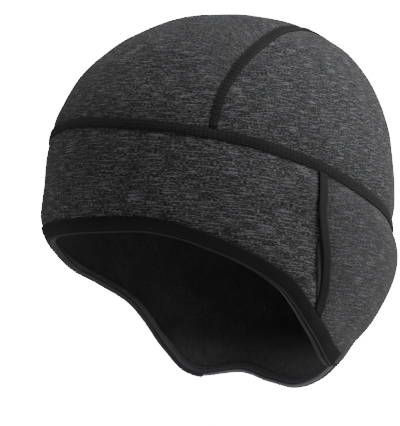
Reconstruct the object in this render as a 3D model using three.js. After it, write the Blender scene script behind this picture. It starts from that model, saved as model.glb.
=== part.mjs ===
// Fleece skull cap with ear flaps, glasses loops, an elastic face binding and a nape hem.
// Millimetres, +Z up, the face opening towards -Y and the wearer's left towards +X.
// The origin is the inside top of the lining, where the cap sits on a head.

import * as THREE from 'three';
import { mergeVertices } from 'three/addons/utils/BufferGeometryUtils.js';

// Form of the cap, measured on its outer face from the widest level
const HALF_WIDTH = 79.1;
const FRONT_REACH = 96.1;
const BACK_REACH = 100;
const CROWN_HEIGHT = 94.1;
const CROWN_SET_BACK = 11.5;
const CROWN_FULLNESS = 2.28;

// Heights of the rim and of the band seam, from the widest level
const FACE_DROP = 31;
const EAR_DROP = 93.6;
const NAPE_DROP = 102.5;
const SEAM_RISE_FRONT = 27.1;
const SEAM_DROP_BACK = 19.3;

// Places round the head, in degrees from the middle of the forehead
const EAR_TIP_ANGLE = 121;
const LOOP_ANGLE = 96;

// Plies
const FABRIC = 1.2;
const PLY_GAP = 0.5;
const LINING = 1.0;
const LINING_EASE = 0.8;
const CLEARANCE = 0.3;
const TURN_CLEARANCE = 0.4;
const SEAM_CLEARANCE = 0.4;

// Trims
const SEAM_WIDTH = 5.5;
const SEAM_THICK = 0.8;
const LOOP_WIDTH = 4.8;
const LOOP_THICK = 0.9;
const LOOP_LIFT = 1.6;
const BINDING_WIDTH = 8;
const TRIM_THICK = 0.8;
const RIM_CORE = 2;
const INNER_TURN = 5;

// Soft relief: depth and half-width of each valley, and how far the rim is drawn in
const CROWN_VALLEY = 0.8;
const CROWN_VALLEY_REACH = 6;
const BAND_VALLEY = 2.9;
const BAND_VALLEY_REACH = 7.5;
const LOOP_VALLEY = 0.9;
const LOOP_VALLEY_REACH = 5;
const RIM_TUCK = 2.8;
const RIM_TUCK_REACH = 15;
const LINING_SPREAD = 1.6;

// Level sections under the widest level: depth is a share of NAPE_DROP, width of HALF_WIDTH,
// front of FRONT_REACH, back of BACK_REACH and shift of CROWN_SET_BACK
const SECTIONS = [
  { depth: 0.0, width: 1.0, front: 1.0, back: 1.0, shift: 0.0 },
  { depth: 0.2, width: 0.983, front: 1.033, back: 1.017, shift: 0.1 },
  { depth: 0.39, width: 0.953, front: 1.018, back: 0.975, shift: 0.4 },
  { depth: 0.59, width: 0.903, front: 0.91, back: 0.857, shift: 0.45 },
  { depth: 0.79, width: 0.877, front: 0.78, back: 0.668, shift: 0.35 },
  { depth: 1.0, width: 0.847, front: 0.64, back: 0.535, shift: 0.11 },
];

// Band seam: rise is a share of the way from its back height to its front height
const BAND_SEAM_LINE = [
  { angle: 0, rise: 1.0, valley: 0.25 },
  { angle: 30, rise: 0.928, valley: 0.28 },
  { angle: 60, rise: 0.815, valley: 0.35 },
  { angle: 90, rise: 0.6, valley: 0.5 },
  { angle: 120, rise: 0.315, valley: 0.85 },
  { angle: 150, rise: 0.108, valley: 1.0 },
  { angle: 180, rise: 0.0, valley: 0.7 },
];

// Rim of the face opening: turn is a share of EAR_TIP_ANGLE, drop a share of the way
// from FACE_DROP to EAR_DROP
const FACE_RIM = [
  { turn: 0.0, drop: 0.0 },
  { turn: 0.261, drop: 0.0123 },
  { turn: 0.478, drop: 0.17 },
  { turn: 0.652, drop: 0.38 },
  { turn: 0.782, drop: 0.726 },
  { turn: 0.92, drop: 0.956 },
  { turn: 1.0, drop: 1.0 },
];

// Rim of the neck: turn is a share of the way from the ear tip to the back,
// drop a share of the way from EAR_DROP to NAPE_DROP
const NECK_RIM = [
  { turn: 0.0, drop: 0.0 },
  { turn: 0.293, drop: -0.15 },
  { turn: 0.64, drop: 0.51 },
  { turn: 1.0, drop: 1.0 },
];

// Crown seams on the unrolled crown, in radians from its top: along runs to the back
// and aside to each side
const CROWN_SEAM_LINE = [
  { along: -1.1, aside: 1.46 },
  { along: -0.745, aside: 1.15 },
  { along: -0.594, aside: 0.985 },
  { along: -0.428, aside: 0.854 },
  { along: -0.222, aside: 0.701 },
  { along: 0.038, aside: 0.485 },
  { along: 0.27, aside: 0.31 },
  { along: 0.6, aside: 0.2 },
  { along: 1.1, aside: 0.18 },
  { along: 2.1, aside: 0.24 },
];

// Facets
const LINING_SIDES = 44;
const LINING_CROWN_ROWS = 8;
const LINING_LOWER_ROWS = 10;
const CROWN_SEAM_STEPS = 22;
const CENTER_GRID = { across: 14, along: CROWN_SEAM_STEPS };
const SIDE_GRID = { across: 10, along: CROWN_SEAM_STEPS };
const FOREHEAD_GRID = { across: 30, along: 10 };
const NECK_GRID = { across: 26, along: 11 };
const BAND_SEAM_STEPS = 60;
const LOOP_STEPS = 14;
const BINDING_STEPS = 38;
const HEM_STEPS = 20;

// How much closer the rows of facets lie at both ends of a run, or at one end
const ENDS_PACKING = 0.55;
const END_PACKING = 0.5;

const SLOPE_STEP = 1e-4;
const NEAR_TOP = 1e-7;
const WELD = 1e-4;
const DEGREE = Math.PI / 180;
const TOTAL_PLY = FABRIC + PLY_GAP + LINING;

const clamp01 = (value) => Math.min(1, Math.max(0, value));
const lerp = (start, end, share) => start + (end - start) * share;
const smooth = (share) => clamp01(share) ** 2 * (3 - 2 * clamp01(share));
const bell = (distance, reach) => Math.exp(-((distance / reach) ** 2));
const packEnds = (share) => share - (ENDS_PACKING * Math.sin(2 * Math.PI * share)) / (2 * Math.PI);
const packEnd = (share) => lerp(share, Math.sin((share * Math.PI) / 2), END_PACKING);

// A smooth curve through a table's column that never overshoots its rows
function tableCurve(rows, key, column, freeEnd = false) {
  const xs = rows.map((row) => row[key]);
  const ys = rows.map((row) => row[column]);
  const last = xs.length - 1;
  const steps = xs.slice(1).map((x, i) => x - xs[i]);
  const rises = steps.map((step, i) => (ys[i + 1] - ys[i]) / step);
  const slopes = xs.map((_, i) => {
    if (i === 0) return 0;
    if (i === last) return freeEnd ? rises[last - 1] : 0;
    if (rises[i - 1] * rises[i] <= 0) return 0;
    const before = 2 * steps[i] + steps[i - 1];
    const after = steps[i] + 2 * steps[i - 1];
    return (before + after) / (before / rises[i - 1] + after / rises[i]);
  });
  return (x) => {
    if (x <= xs[0]) return ys[0];
    if (x >= xs[last]) return ys[last] + slopes[last] * (x - xs[last]);
    const i = xs.findIndex((edge) => x < edge) - 1;
    const t = (x - xs[i]) / steps[i];
    const near = (1 + 2 * t) * (1 - t) ** 2 * ys[i] + t * (1 - t) ** 2 * steps[i] * slopes[i];
    const far = t * t * (3 - 2 * t) * ys[i + 1] + t * t * (t - 1) * steps[i] * slopes[i + 1];
    return near + far;
  };
}

const widthAt = tableCurve(SECTIONS, 'depth', 'width', true);
const frontAt = tableCurve(SECTIONS, 'depth', 'front', true);
const backAt = tableCurve(SECTIONS, 'depth', 'back', true);
const shiftAt = tableCurve(SECTIONS, 'depth', 'shift', true);
const seamRiseAt = tableCurve(BAND_SEAM_LINE, 'angle', 'rise');
const seamValleyAt = tableCurve(BAND_SEAM_LINE, 'angle', 'valley');
const faceDropAt = tableCurve(FACE_RIM, 'turn', 'drop');
const neckDropAt = tableCurve(NECK_RIM, 'turn', 'drop');
const crownSeamAside = tableCurve(CROWN_SEAM_LINE, 'along', 'aside', true);

// Degrees from the middle of the forehead, 0 to 180 on either side
function turnOf(theta) {
  const turn = Math.abs(theta / DEGREE) % 360;
  return turn > 180 ? 360 - turn : turn;
}

function bandSeamHeight(theta) {
  return lerp(-SEAM_DROP_BACK, SEAM_RISE_FRONT, seamRiseAt(turnOf(theta)));
}

function rimHeight(theta) {
  const turn = turnOf(theta);
  if (turn <= EAR_TIP_ANGLE) return -lerp(FACE_DROP, EAR_DROP, faceDropAt(turn / EAR_TIP_ANGLE));
  const share = (turn - EAR_TIP_ANGLE) / (180 - EAR_TIP_ANGLE);
  return -lerp(EAR_DROP, NAPE_DROP, neckDropAt(share));
}

// The plain form without valleys: a rounded dome above the widest level,
// and the level sections under it
function form(theta, height) {
  let width = HALF_WIDTH;
  let front = FRONT_REACH;
  let back = BACK_REACH;
  let middle = 0;
  if (height >= 0) {
    const rise = Math.min(1, height / CROWN_HEIGHT);
    const share = (1 - rise ** CROWN_FULLNESS) ** (1 / CROWN_FULLNESS);
    width *= share;
    front *= share;
    back *= share;
    middle = CROWN_SET_BACK * rise * rise;
  } else {
    const depth = -height / NAPE_DROP;
    width *= widthAt(depth);
    front *= frontAt(depth);
    back *= backAt(depth);
    middle = CROWN_SET_BACK * shiftAt(depth);
  }
  const reach = Math.cos(theta) > 0 ? front : back;
  return new THREE.Vector3(width * Math.sin(theta), middle - reach * Math.cos(theta), height);
}

function alongRound(theta, height) {
  const ahead = form(theta + SLOPE_STEP, height);
  return ahead.sub(form(theta - SLOPE_STEP, height)).divideScalar(2 * SLOPE_STEP);
}

function outward(theta, height) {
  if (height > CROWN_HEIGHT * (1 - NEAR_TOP)) return new THREE.Vector3(0, 0, 1);
  let up;
  if (height > 0) {
    const tilt = Math.acos(height / CROWN_HEIGHT);
    const step = Math.min(SLOPE_STEP, tilt / 2);
    const above = form(theta, CROWN_HEIGHT * Math.cos(tilt - step));
    up = above.sub(form(theta, CROWN_HEIGHT * Math.cos(tilt + step)));
  } else {
    up = form(theta, height + SLOPE_STEP).sub(form(theta, height - SLOPE_STEP));
  }
  return alongRound(theta, height).cross(up).normalize();
}

// How much longer a height is than the distance square to a sloping line
function stretchOf(line, theta) {
  const slope = (line(theta + SLOPE_STEP) - line(theta - SLOPE_STEP)) / (2 * SLOPE_STEP);
  return Math.hypot(1, slope / alongRound(theta, line(theta)).length());
}

const aboveRim = (theta, distance) => rimHeight(theta) + distance * stretchOf(rimHeight, theta);
const fromSeam = (theta, distance) => bandSeamHeight(theta) + distance * stretchOf(bandSeamHeight, theta);

// The crown unrolled: a point's aside and along are its bearing times its tilt from the top
function unroll(theta, height) {
  const tilt = Math.acos(Math.max(-1, Math.min(1, height / CROWN_HEIGHT)));
  return [tilt * Math.sin(theta), -tilt * Math.cos(theta)];
}

function rollUp([aside, along]) {
  const tilt = Math.hypot(aside, along);
  return [Math.atan2(aside, -along), CROWN_HEIGHT * Math.cos(tilt)];
}

function crownSeamSlope(along) {
  return (crownSeamAside(along + SLOPE_STEP) - crownSeamAside(along - SLOPE_STEP)) / (2 * SLOPE_STEP);
}

// Unrolled length of one millimetre square to the crown seam
function crownSeamUnit(along) {
  const aside = crownSeamAside(along);
  const here = form(...rollUp([aside, along]));
  const beside = form(...rollUp([aside + SLOPE_STEP, along]));
  return (SLOPE_STEP / here.distanceTo(beside)) * Math.hypot(1, crownSeamSlope(along));
}

// Relief over the plain form; spread widens the valleys for the ply underneath
function relief(theta, height, spread) {
  const seamDistance = (height - bandSeamHeight(theta)) / stretchOf(bandSeamHeight, theta);
  const rimDistance = (height - rimHeight(theta)) / stretchOf(rimHeight, theta);
  const bandDepth = BAND_VALLEY * seamValleyAt(turnOf(theta));
  let depth = bandDepth * bell(seamDistance, BAND_VALLEY_REACH * spread);
  depth += RIM_TUCK * clamp01(1 - rimDistance / RIM_TUCK_REACH) ** 2;
  if (spread > 1) return -depth - LINING_EASE * smooth((rimDistance - INNER_TURN - 1) / RIM_TUCK_REACH);
  if (seamDistance > 0) {
    const [aside, along] = unroll(theta, height);
    const distance = (Math.abs(aside) - crownSeamAside(along)) / crownSeamUnit(along);
    depth += CROWN_VALLEY * smooth(seamDistance / CROWN_VALLEY_REACH) * bell(distance, CROWN_VALLEY_REACH);
  } else {
    const distance = (turnOf(theta) - LOOP_ANGLE) * DEGREE * alongRound(theta, height).length();
    const footFade = smooth((rimDistance - INNER_TURN) / BINDING_WIDTH);
    const topFade = smooth(-seamDistance / LOOP_VALLEY_REACH);
    depth += LOOP_VALLEY * footFade * topFade * bell(distance, LOOP_VALLEY_REACH);
  }
  return -depth;
}

// Lifts the cap so that the inside top of the lining is the origin
const INSIDE_TOP = CROWN_HEIGHT - TOTAL_PLY - LINING_EASE;

// A point at a given distance outside the fabric's outer face
function skin(theta, height, offset, spread = 1) {
  const lift = offset + relief(theta, height, spread);
  const point = form(theta, height).addScaledVector(outward(theta, height), lift);
  return point.sub(new THREE.Vector3(0, CROWN_SET_BACK, INSIDE_TOP));
}

// Mesh builders
function signedVolume(points, faces) {
  return faces.reduce((sum, [a, b, c]) => {
    return sum + points[a].dot(new THREE.Vector3().crossVectors(points[b], points[c])) / 6;
  }, 0);
}

function solid(points, faces) {
  const outwardFaces = signedVolume(points, faces) > 0 ? faces : faces.map(([a, b, c]) => [a, c, b]);
  const geometry = new THREE.BufferGeometry();
  geometry.setAttribute('position', new THREE.Float32BufferAttribute(points.flatMap((p) => p.toArray()), 3));
  geometry.setIndex(outwardFaces.flat());
  const merged = mergeVertices(geometry, WELD);
  merged.computeVertexNormals();
  return merged;
}

// A closed sheet: pointAt(u, v, side) with side 0 on the outer face and 1 on the inner
function sheet({ across, along }, pointAt) {
  const points = [];
  const faces = [];
  const index = (side, i, j) => (side * (along + 1) + j) * (across + 1) + i;
  for (const side of [0, 1]) {
    for (let j = 0; j <= along; j += 1) {
      for (let i = 0; i <= across; i += 1) points.push(pointAt(i / across, j / along, side));
    }
  }
  const quad = (a, b, c, d) => faces.push([a, b, c], [a, c, d]);
  for (let j = 0; j < along; j += 1) {
    for (let i = 0; i < across; i += 1) {
      quad(index(0, i, j), index(0, i + 1, j), index(0, i + 1, j + 1), index(0, i, j + 1));
      quad(index(1, i, j), index(1, i, j + 1), index(1, i + 1, j + 1), index(1, i + 1, j));
    }
  }
  for (let i = 0; i < across; i += 1) {
    quad(index(0, i, 0), index(1, i, 0), index(1, i + 1, 0), index(0, i + 1, 0));
    quad(index(0, i, along), index(0, i + 1, along), index(1, i + 1, along), index(1, i, along));
  }
  for (let j = 0; j < along; j += 1) {
    quad(index(0, 0, j), index(0, 0, j + 1), index(1, 0, j + 1), index(1, 0, j));
    quad(index(0, across, j), index(1, across, j), index(1, across, j + 1), index(0, across, j + 1));
  }
  return solid(points, faces);
}

// A trim: an outline of [across, out] corners carried along its run, where place(share, across, out)
// gives each corner's place
function trim(outline, steps, place, closed = false) {
  const rings = closed ? steps : steps + 1;
  const count = outline.length;
  const points = [];
  const faces = [];
  for (let k = 0; k < rings; k += 1) {
    for (const [across, out] of outline) points.push(place(k / steps, across, out));
  }
  for (let k = 0; k < steps; k += 1) {
    for (let i = 0; i < count; i += 1) {
      const near = k * count;
      const far = ((k + 1) % rings) * count;
      const next = (i + 1) % count;
      faces.push([near + i, near + next, far + next], [near + i, far + next, far + i]);
    }
  }
  if (closed) return solid(points, faces);
  const last = (rings - 1) * count;
  for (const [a, b, c] of capTriangles(outline)) {
    faces.push([a, c, b], [last + a, last + b, last + c]);
  }
  return solid(points, faces);
}

// The outline filled with triangles that turn the way the outline does
function capTriangles(outline) {
  const corners = outline.map(([across, out]) => new THREE.Vector2(across, out));
  const turn = Math.sign(THREE.ShapeUtils.area(corners));
  return THREE.ShapeUtils.triangulateShape(corners, []).map(([a, b, c]) => {
    const same = Math.sign(THREE.ShapeUtils.area([corners[a], corners[b], corners[c]])) === turn;
    return same ? [a, b, c] : [a, c, b];
  });
}

// Lining: one shell from the top to the rim
const PANEL_FOOT = RIM_CORE + CLEARANCE;

function liningHeight(theta, row) {
  if (row <= LINING_CROWN_ROWS) {
    const seamTilt = Math.acos(bandSeamHeight(theta) / CROWN_HEIGHT);
    return CROWN_HEIGHT * Math.cos(seamTilt * packEnd(row / LINING_CROWN_ROWS));
  }
  const share = (row - LINING_CROWN_ROWS) / LINING_LOWER_ROWS;
  return lerp(bandSeamHeight(theta), aboveRim(theta, PANEL_FOOT + CLEARANCE), packEnds(share));
}

function makeLining() {
  const rows = LINING_CROWN_ROWS + LINING_LOWER_ROWS;
  const points = [];
  const faces = [];
  const tops = [];
  const index = (side, i, row) => tops[side] + 1 + (row - 1) * LINING_SIDES + (i % LINING_SIDES);
  for (const side of [0, 1]) {
    const offset = side === 0 ? -FABRIC - PLY_GAP : -TOTAL_PLY;
    tops.push(points.length);
    points.push(skin(0, CROWN_HEIGHT, offset, LINING_SPREAD));
    for (let row = 1; row <= rows; row += 1) {
      for (let i = 0; i < LINING_SIDES; i += 1) {
        const theta = (i / LINING_SIDES) * 2 * Math.PI;
        points.push(skin(theta, liningHeight(theta, row), offset, LINING_SPREAD));
      }
    }
  }
  const quad = (a, b, c, d) => faces.push([a, b, c], [a, c, d]);
  for (let i = 0; i < LINING_SIDES; i += 1) {
    faces.push([tops[0], index(0, i, 1), index(0, i + 1, 1)]);
    faces.push([tops[1], index(1, i + 1, 1), index(1, i, 1)]);
    for (let row = 1; row < rows; row += 1) {
      quad(index(0, i, row), index(0, i, row + 1), index(0, i + 1, row + 1), index(0, i + 1, row));
      quad(index(1, i, row), index(1, i + 1, row), index(1, i + 1, row + 1), index(1, i, row + 1));
    }
    quad(index(0, i, rows), index(1, i, rows), index(1, i + 1, rows), index(0, i + 1, rows));
  }
  return solid(points, faces);
}

const fabricOffset = (side) => (side === 0 ? 0 : -FABRIC);

// A panel under the band seam, between two bearings in degrees
function makeLowerPanel(grid, from, to) {
  return sheet(grid, (u, v, side) => {
    const theta = lerp(from, to, u) * DEGREE;
    const height = lerp(fromSeam(theta, -CLEARANCE), aboveRim(theta, PANEL_FOOT), packEnds(v));
    return skin(theta, height, fabricOffset(side));
  });
}

// A place on the unrolled crown, at a distance square to the crown seam on its outer side
function besideCrownSeam(along, distance) {
  return [crownSeamAside(along) + distance * crownSeamUnit(along), along];
}

// Where a line beside the crown seam comes down to a distance above the band seam
const HALVINGS = 40;

function crownSeamEnd(distance, above, from, to) {
  let inner = from;
  let outer = to;
  for (let i = 0; i < HALVINGS; i += 1) {
    const middle = (inner + outer) / 2;
    const [theta, height] = rollUp(besideCrownSeam(middle, distance));
    if (height > fromSeam(theta, above)) inner = middle;
    else outer = middle;
  }
  return inner;
}

const CROWN_SEAM_MIDDLE = 0.3;
const CROWN_SEAM_FRONT = CROWN_SEAM_LINE[0].along;
const CROWN_SEAM_BACK = CROWN_SEAM_LINE[CROWN_SEAM_LINE.length - 1].along;
const crownFrontEnd = (distance, above) => crownSeamEnd(distance, above, CROWN_SEAM_MIDDLE, CROWN_SEAM_FRONT);
const crownBackEnd = (distance, above) => crownSeamEnd(distance, above, CROWN_SEAM_MIDDLE, CROWN_SEAM_BACK);

function alongCrownSeam(distance, above, share) {
  const along = lerp(crownFrontEnd(distance, above), crownBackEnd(distance, above), packEnds(share));
  return besideCrownSeam(along, distance);
}

const bearingOf = ([aside, along]) => Math.atan2(aside, -along);
const aboveSeamPoint = (theta) => unroll(theta, fromSeam(theta, CLEARANCE));

// Middle panel: its four edges blended over the unrolled crown
function makeCrownCenter() {
  const frontTurn = bearingOf(alongCrownSeam(-CLEARANCE, CLEARANCE, 0));
  const backTurn = bearingOf(alongCrownSeam(-CLEARANCE, CLEARANCE, 1));
  const frontEdge = (share) => aboveSeamPoint(lerp(-frontTurn, frontTurn, share));
  const backEdge = (share) => aboveSeamPoint(lerp(2 * Math.PI - backTurn, backTurn, share));
  return sheet(CENTER_GRID, (u, v, side) => {
    const [aside, along] = alongCrownSeam(-CLEARANCE, CLEARANCE, v);
    const place = [0, 1].map((axis) => {
      const across = axis === 0 ? lerp(-aside, aside, u) : along;
      const frontBow = frontEdge(u)[axis] - lerp(frontEdge(0)[axis], frontEdge(1)[axis], u);
      const backBow = backEdge(u)[axis] - lerp(backEdge(0)[axis], backEdge(1)[axis], u);
      return across + lerp(frontBow, backBow, packEnds(v));
    });
    return skin(...rollUp(place), fabricOffset(side));
  });
}

// Side panel: from the crown seam down to the band seam
const CORNER_CUT = 1.2;

function makeCrownSide(mirror) {
  const frontTurn = bearingOf(alongCrownSeam(CLEARANCE, CLEARANCE, 0));
  const backTurn = bearingOf(alongCrownSeam(CLEARANCE, CLEARANCE, 1));
  return sheet(SIDE_GRID, (u, v, side) => {
    const inner = alongCrownSeam(CLEARANCE, CLEARANCE + CORNER_CUT, v);
    const outer = aboveSeamPoint(lerp(frontTurn, backTurn, packEnds(v)));
    const share = packEnds(u);
    const place = [mirror * lerp(inner[0], outer[0], share), lerp(inner[1], outer[1], share)];
    return skin(...rollUp(place), fabricOffset(side));
  });
}

// Flat seams: a low bevelled strip over a joint
const HALF_SEAM = SEAM_WIDTH / 2;
const SEAM_BEVEL = 0.5;
const SEAM_OUTLINE = [
  [-HALF_SEAM, SEAM_CLEARANCE],
  [-HALF_SEAM + SEAM_BEVEL, SEAM_CLEARANCE + SEAM_THICK],
  [HALF_SEAM - SEAM_BEVEL, SEAM_CLEARANCE + SEAM_THICK],
  [HALF_SEAM, SEAM_CLEARANCE],
];

function makeBandSeam() {
  return trim(SEAM_OUTLINE, BAND_SEAM_STEPS, (share, across, out) => {
    const theta = share * 2 * Math.PI;
    return skin(theta, fromSeam(theta, across), out);
  }, true);
}

function makeCrownSeam(mirror) {
  return trim(SEAM_OUTLINE, CROWN_SEAM_STEPS, (share, across, out) => {
    const [aside, along] = alongCrownSeam(across, HALF_SEAM + CLEARANCE, share);
    return skin(...rollUp([mirror * aside, along]), out);
  });
}

// Glasses loop: a tape from the band seam to the binding that stands off the fabric between
const HALF_LOOP = LOOP_WIDTH / 2;
const LOOP_OUTLINE = [
  [-HALF_LOOP, CLEARANCE],
  [-HALF_LOOP, CLEARANCE + LOOP_THICK],
  [HALF_LOOP, CLEARANCE + LOOP_THICK],
  [HALF_LOOP, CLEARANCE],
];

function makeGlassesLoop(mirror) {
  return trim(LOOP_OUTLINE, LOOP_STEPS, (share, across, out) => {
    const theta = mirror * (LOOP_ANGLE * DEGREE + across / HALF_WIDTH);
    const top = fromSeam(theta, -HALF_SEAM - CLEARANCE);
    const foot = aboveRim(theta, BINDING_WIDTH + CLEARANCE);
    const lift = LOOP_LIFT * Math.sin(Math.PI * share) ** 2;
    return skin(theta, lerp(top, foot, share), out + lift);
  });
}

// Rim trims: distances are up from the rim, then out from the fabric's outer face
const INNER_FACE = -TOTAL_PLY - TURN_CLEARANCE;
const RIM_ROUND = 1;
const BINDING_OUTLINE = [
  [BINDING_WIDTH, CLEARANCE],
  [BINDING_WIDTH, CLEARANCE + TRIM_THICK],
  [BINDING_WIDTH / 2, CLEARANCE + TRIM_THICK],
  [RIM_ROUND, CLEARANCE + TRIM_THICK],
  [0, CLEARANCE],
  [0, INNER_FACE],
  [RIM_ROUND, INNER_FACE - TRIM_THICK],
  [INNER_TURN, INNER_FACE - TRIM_THICK],
  [INNER_TURN, INNER_FACE],
  [RIM_CORE, INNER_FACE],
  [RIM_CORE, CLEARANCE],
  [BINDING_WIDTH / 2, CLEARANCE],
];
const HEM_OUTLINE = [
  [RIM_CORE, 0],
  [RIM_ROUND, 0],
  [0, -RIM_ROUND],
  [0, INNER_FACE],
  [RIM_ROUND, INNER_FACE - TRIM_THICK],
  [INNER_TURN, INNER_FACE - TRIM_THICK],
  [INNER_TURN, INNER_FACE],
  [RIM_CORE, INNER_FACE],
];
const TIP_GAP = CLEARANCE / 2 / HALF_WIDTH / DEGREE;

function makeRimTrim(outline, steps, from, to) {
  return trim(outline, steps, (share, across, out) => {
    const theta = lerp(from, to, share) * DEGREE;
    return skin(theta, aboveRim(theta, across), out);
  });
}

// Assembly
const cap = new THREE.Group();
cap.name = 'fleece_hat';

function add(name, geometry, color, roughness) {
  const mesh = new THREE.Mesh(geometry, new THREE.MeshStandardMaterial({ color, roughness, metalness: 0 }));
  mesh.name = name;
  cap.add(mesh);
}

const HEATHER = 0x505155;
const FLEECE = 0x17171a;
const TAPE = 0x2a2a2d;
const ELASTIC = 0x18181b;

const LOOP_GAP = CLEARANCE / HALF_WIDTH / DEGREE;
const loopFront = LOOP_ANGLE - LOOP_GAP;
const loopBack = LOOP_ANGLE + LOOP_GAP;

add('lining', makeLining(), FLEECE, 1);
add('crown_center', makeCrownCenter(), HEATHER, 0.95);
add('crown_side_left', makeCrownSide(1), HEATHER, 0.95);
add('crown_side_right', makeCrownSide(-1), HEATHER, 0.95);
add('forehead_band', makeLowerPanel(FOREHEAD_GRID, -loopFront, loopFront), HEATHER, 0.95);
add('ear_neck_panel', makeLowerPanel(NECK_GRID, loopBack, 360 - loopBack), HEATHER, 0.95);
add('band_seam', makeBandSeam(), TAPE, 0.9);
add('crown_seam_left', makeCrownSeam(1), TAPE, 0.9);
add('crown_seam_right', makeCrownSeam(-1), TAPE, 0.9);
add('glasses_loop_left', makeGlassesLoop(1), TAPE, 0.8);
add('glasses_loop_right', makeGlassesLoop(-1), TAPE, 0.8);

const bindingEnd = EAR_TIP_ANGLE - TIP_GAP;
const hemStart = EAR_TIP_ANGLE + TIP_GAP;
add('front_binding', makeRimTrim(BINDING_OUTLINE, BINDING_STEPS, -bindingEnd, bindingEnd), ELASTIC, 0.7);
add('neck_hem', makeRimTrim(HEM_OUTLINE, HEM_STEPS, hemStart, 360 - hemStart), HEATHER, 0.95);

export default cap;
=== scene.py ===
"""A fleece cap with ear flaps: fine cloth, seams, stitches, tapes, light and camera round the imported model.

Lengths are in millimetres until a mesh is made. The front of the cap faces -Y, the wearer's left is +X,
and theta turns from the middle of the forehead towards the left.
"""

import math

import bmesh
import bpy
import numpy as np
from mathutils import Matrix, Vector
from mathutils.geometry import tessellate_polygon


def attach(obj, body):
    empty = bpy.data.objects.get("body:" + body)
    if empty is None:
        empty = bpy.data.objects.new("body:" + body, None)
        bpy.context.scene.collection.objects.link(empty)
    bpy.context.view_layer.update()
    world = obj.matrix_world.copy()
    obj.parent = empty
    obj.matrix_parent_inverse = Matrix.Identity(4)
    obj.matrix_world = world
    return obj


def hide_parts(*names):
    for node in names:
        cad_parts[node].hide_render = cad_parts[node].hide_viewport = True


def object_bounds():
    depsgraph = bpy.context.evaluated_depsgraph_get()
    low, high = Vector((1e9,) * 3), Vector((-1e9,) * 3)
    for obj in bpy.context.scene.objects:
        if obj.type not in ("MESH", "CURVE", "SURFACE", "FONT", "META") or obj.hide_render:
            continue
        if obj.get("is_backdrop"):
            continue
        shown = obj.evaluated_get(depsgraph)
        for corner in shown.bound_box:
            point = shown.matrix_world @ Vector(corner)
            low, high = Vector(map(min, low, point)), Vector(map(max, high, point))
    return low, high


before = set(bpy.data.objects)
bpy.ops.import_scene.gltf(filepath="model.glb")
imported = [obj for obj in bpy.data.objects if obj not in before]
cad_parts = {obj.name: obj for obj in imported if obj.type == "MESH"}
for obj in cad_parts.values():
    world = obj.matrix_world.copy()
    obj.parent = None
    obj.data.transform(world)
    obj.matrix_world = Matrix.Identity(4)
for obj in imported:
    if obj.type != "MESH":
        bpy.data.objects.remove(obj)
CAD_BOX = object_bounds()
MM = 0.001
DEGREE = math.pi / 180

# Form of the cap, as in the part's source
HALF_WIDTH = 79.1
FRONT_REACH = 96.1
BACK_REACH = 100
CROWN_HEIGHT = 94.1
CROWN_SET_BACK = 11.5
CROWN_FULLNESS = 2.28
FACE_DROP = 31
EAR_DROP = 93.6
NAPE_DROP = 102.5
SEAM_RISE_FRONT = 27.1
SEAM_DROP_BACK = 19.3
EAR_TIP_ANGLE = 121
LOOP_ANGLE = 96

# Plies and gaps
FABRIC = 1.2
PLY_GAP = 0.5
LINING = 1.0
LINING_EASE = 0.8
CLEARANCE = 0.3
TOTAL_PLY = FABRIC + PLY_GAP + LINING
INSIDE_TOP = CROWN_HEIGHT - TOTAL_PLY - LINING_EASE

# Trims
SEAM_WIDTH = 5.5
SCENE_LIFT = 1.1
BINDING_WIDTH = 8
RIM_CORE = 2
INNER_TURN = 5
HALF_SEAM = SEAM_WIDTH / 2
PANEL_FOOT = RIM_CORE + CLEARANCE

# Soft relief beside the seams, loops and rims; the crease runs down the cloth behind each loop
CROWN_VALLEY = 0.8
CROWN_VALLEY_REACH = 6
BAND_VALLEY = 2.9
BAND_VALLEY_REACH = 7.5
LOOP_VALLEY = 0.9
LOOP_VALLEY_REACH = 5
RIM_TUCK = 2.8
RIM_TUCK_REACH = 15
LINING_SPREAD = 1.6
LOOP_CREASE = 1.3
CREASE_ASIDE = 7.6
CREASE_REACH = 1.7
CREASE_SHARE = 0.72
CREASE_HALF = 0.13

SLOPE_STEP = 1e-4
NEAR_TOP = 1e-7


def table_curve(keys, values, free_end=False):
    """A smooth curve through a table's rows that never overshoots them."""
    xs = np.array(keys, float)
    ys = np.array(values, float)
    steps = np.diff(xs)
    rises = np.diff(ys) / steps
    before = 2 * steps[1:] + steps[:-1]
    after = steps[1:] + 2 * steps[:-1]
    level = rises[:-1] * rises[1:] <= 0
    low = np.where(level, 1, rises[:-1])
    high = np.where(level, 1, rises[1:])
    inner = np.where(level, 0, (before + after) / (before / low + after / high))
    slopes = np.concatenate([[0], inner, [rises[-1] if free_end else 0]])

    def at(x):
        x = np.asarray(x, float)
        i = np.clip(np.searchsorted(xs, x, side="right") - 1, 0, len(steps) - 1)
        t = np.clip((x - xs[i]) / steps[i], 0, 1)
        near = (1 + 2 * t) * (1 - t) ** 2 * ys[i] + t * (1 - t) ** 2 * steps[i] * slopes[i]
        far = t * t * (3 - 2 * t) * ys[i + 1] + t * t * (t - 1) * steps[i] * slopes[i + 1]
        return near + far + slopes[-1] * np.maximum(x - xs[-1], 0)

    return at


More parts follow.
